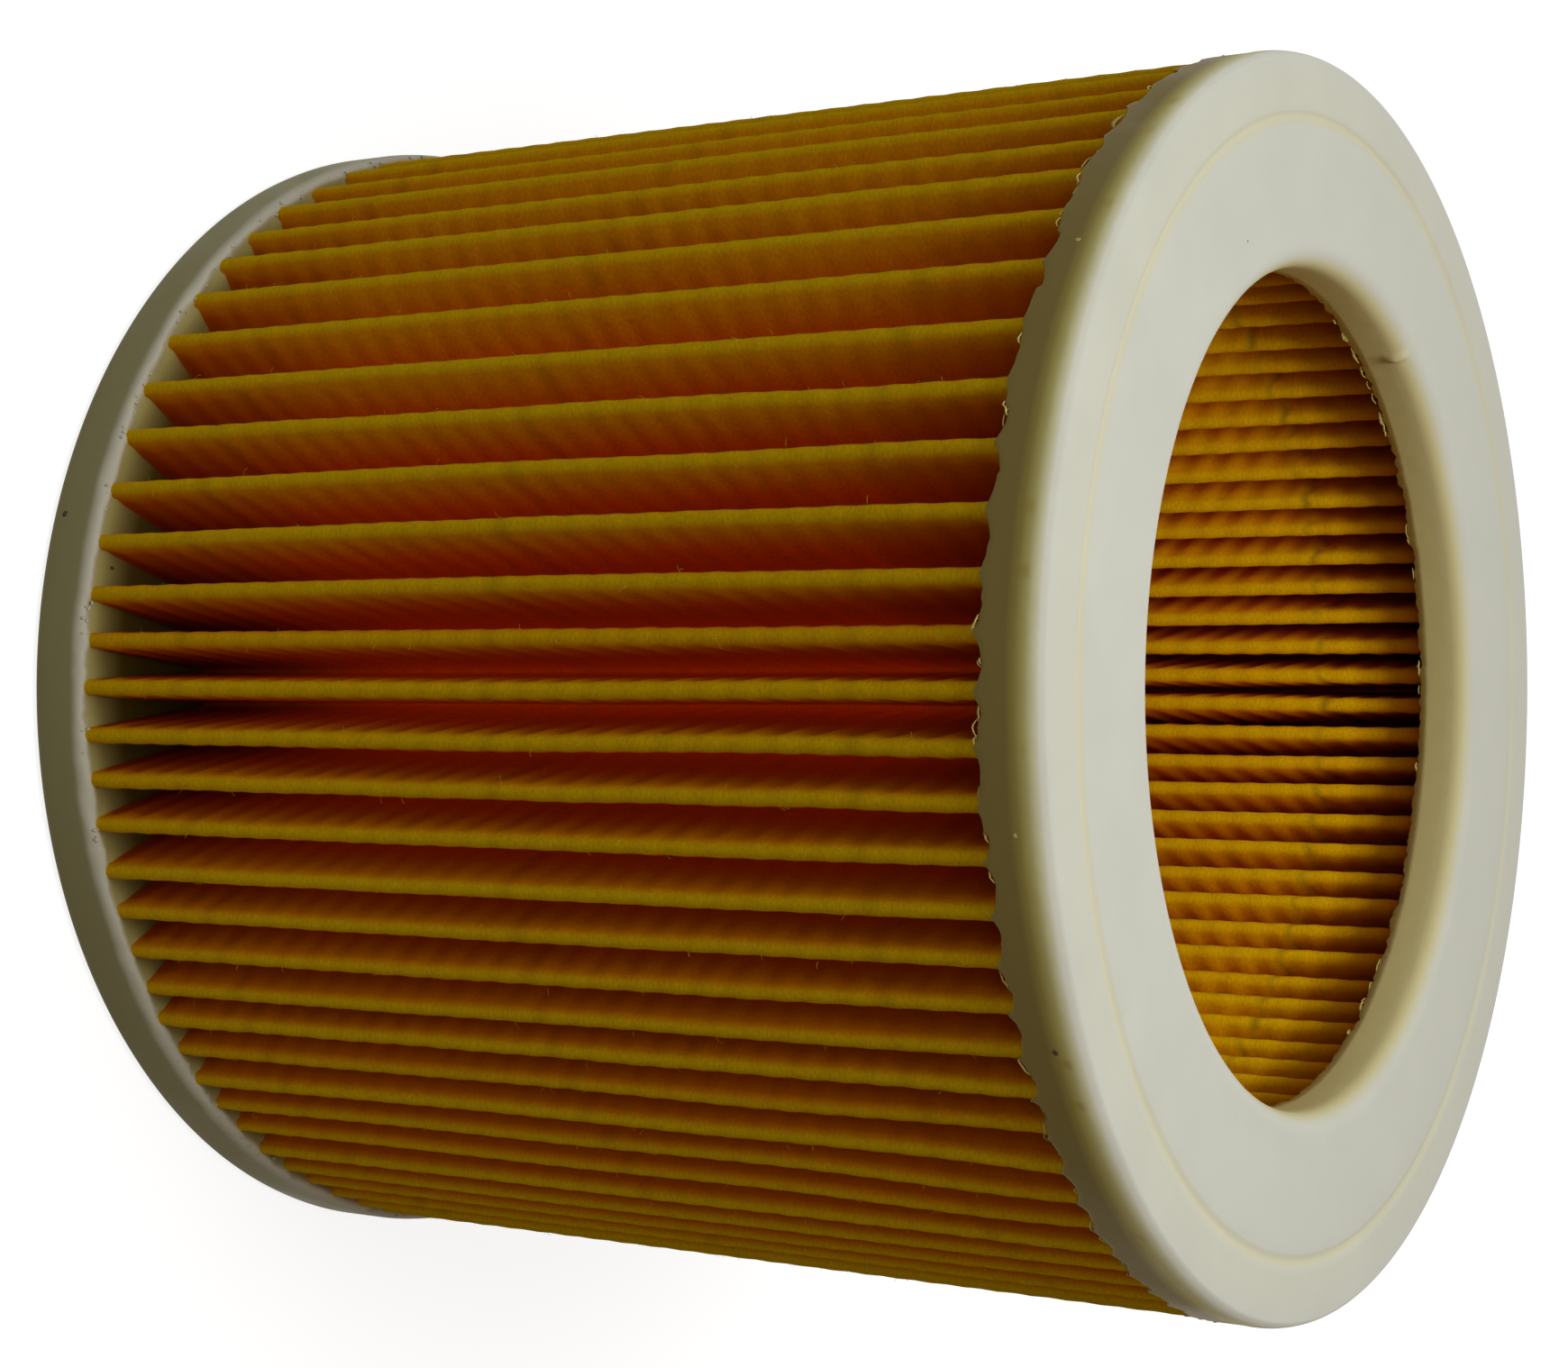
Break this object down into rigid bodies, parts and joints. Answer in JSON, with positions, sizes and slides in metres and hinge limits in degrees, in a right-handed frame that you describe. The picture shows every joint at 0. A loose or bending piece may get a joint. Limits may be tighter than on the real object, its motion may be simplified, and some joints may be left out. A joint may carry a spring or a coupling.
{
  "type": "vacuum cartridge filter",
  "caption": "Round cartridge filter: a ring of folded yellow filter paper held between a soft open end cap with a wide bore and a closed end cap.",
  "frame": {"origin": "centre of the closed end cap's outer face, which the filter stands on", "axes": "+Z along the filter's axis, from the closed end towards the open end"},
  "size_m": [0.1178, 0.1178, 0.108],
  "materials": {
    "filter_paper": "matte, fibrous, finely grooved",
    "cast_polyurethane": "satin, off-white, soft cast skin"
  },
  "bodies": {
    "root": {"pleated_media": "filter_paper", "open_end_cap": "cast_polyurethane", "closed_end_cap": "cast_polyurethane"}
  },
  "joints": []
}
